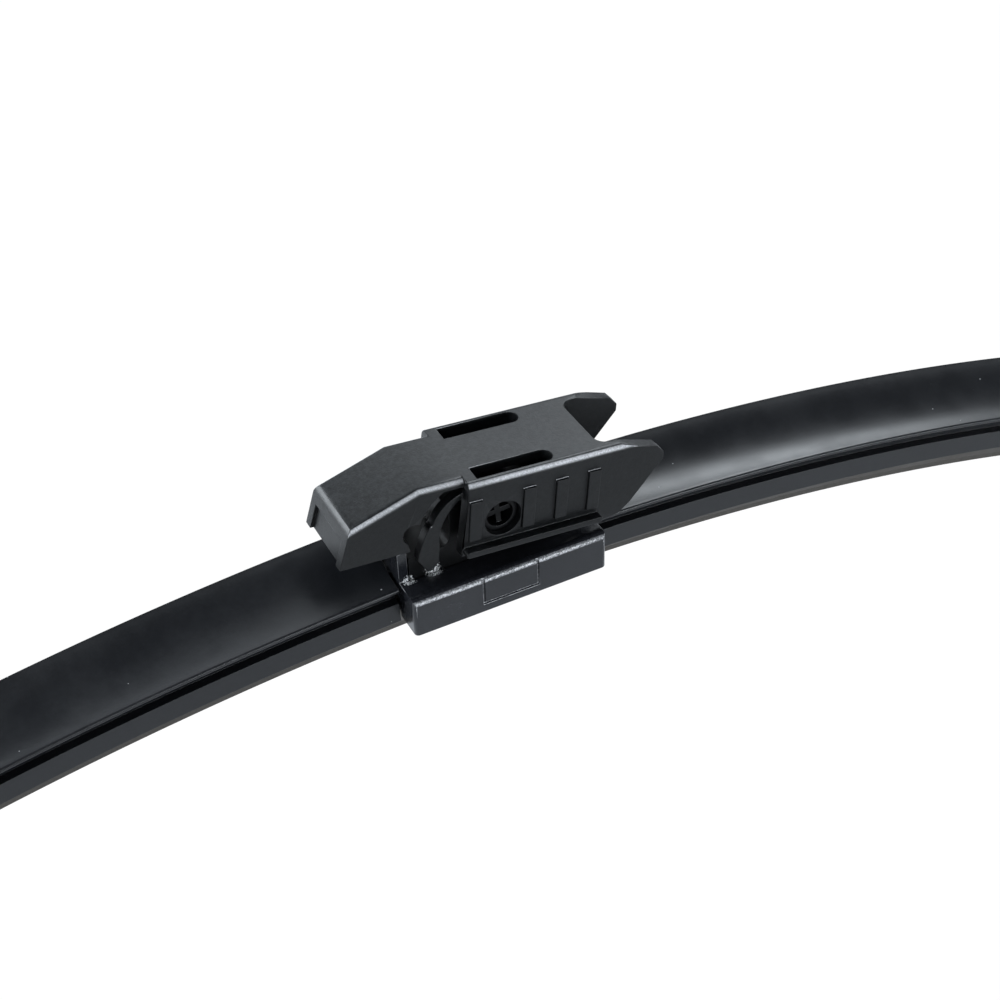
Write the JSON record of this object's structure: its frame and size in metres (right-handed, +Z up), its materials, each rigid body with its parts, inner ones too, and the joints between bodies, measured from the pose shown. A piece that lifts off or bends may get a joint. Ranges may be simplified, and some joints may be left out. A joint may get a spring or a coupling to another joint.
{
  "type": "wiper blade",
  "caption": "Flat beam wiper blade for a car windscreen, with a rubber wiping edge and a pivoting centre adapter.",
  "frame": {"origin": "centre of the pivot between adapter and blade, at mid width", "axes": "+X along the blade, towards the open end of the adapter where the arm enters; +Y across it; +Z up, away from the glass"},
  "size_m": [0.3924, 0.0182, 0.073],
  "materials": {
    "adapter_plastic": "fine moulded grain",
    "cover_plastic": "glossy",
    "carrier_plastic": "satin",
    "axle_plastic": "satin",
    "spring_steel": "black coating",
    "wiping_rubber": "dull, graphite coated",
    "spoiler_rubber": "smooth, slightly dusty",
    "cap_plastic": "satin"
  },
  "bodies": {
    "adapter": {"adapter": "adapter_plastic"},
    "blade": {"axle": "axle_plastic", "base_carrier": "carrier_plastic", "base_cover": "cover_plastic", "spring_strip_front": "spring_steel", "spring_strip_rear": "spring_steel", "wiping_rubber": "wiping_rubber", "spoiler_left": "spoiler_rubber", "spoiler_right": "spoiler_rubber", "end_cap_left": "cap_plastic", "end_cap_right": "cap_plastic"}
  },
  "joints": [
    {"name": "blade_pivot", "type": "hinge", "parent": "adapter", "child": "blade", "pos_m": [0, 0, 0], "axis": [0, 1, 0], "range_deg": [-4, 4]}
  ]
}
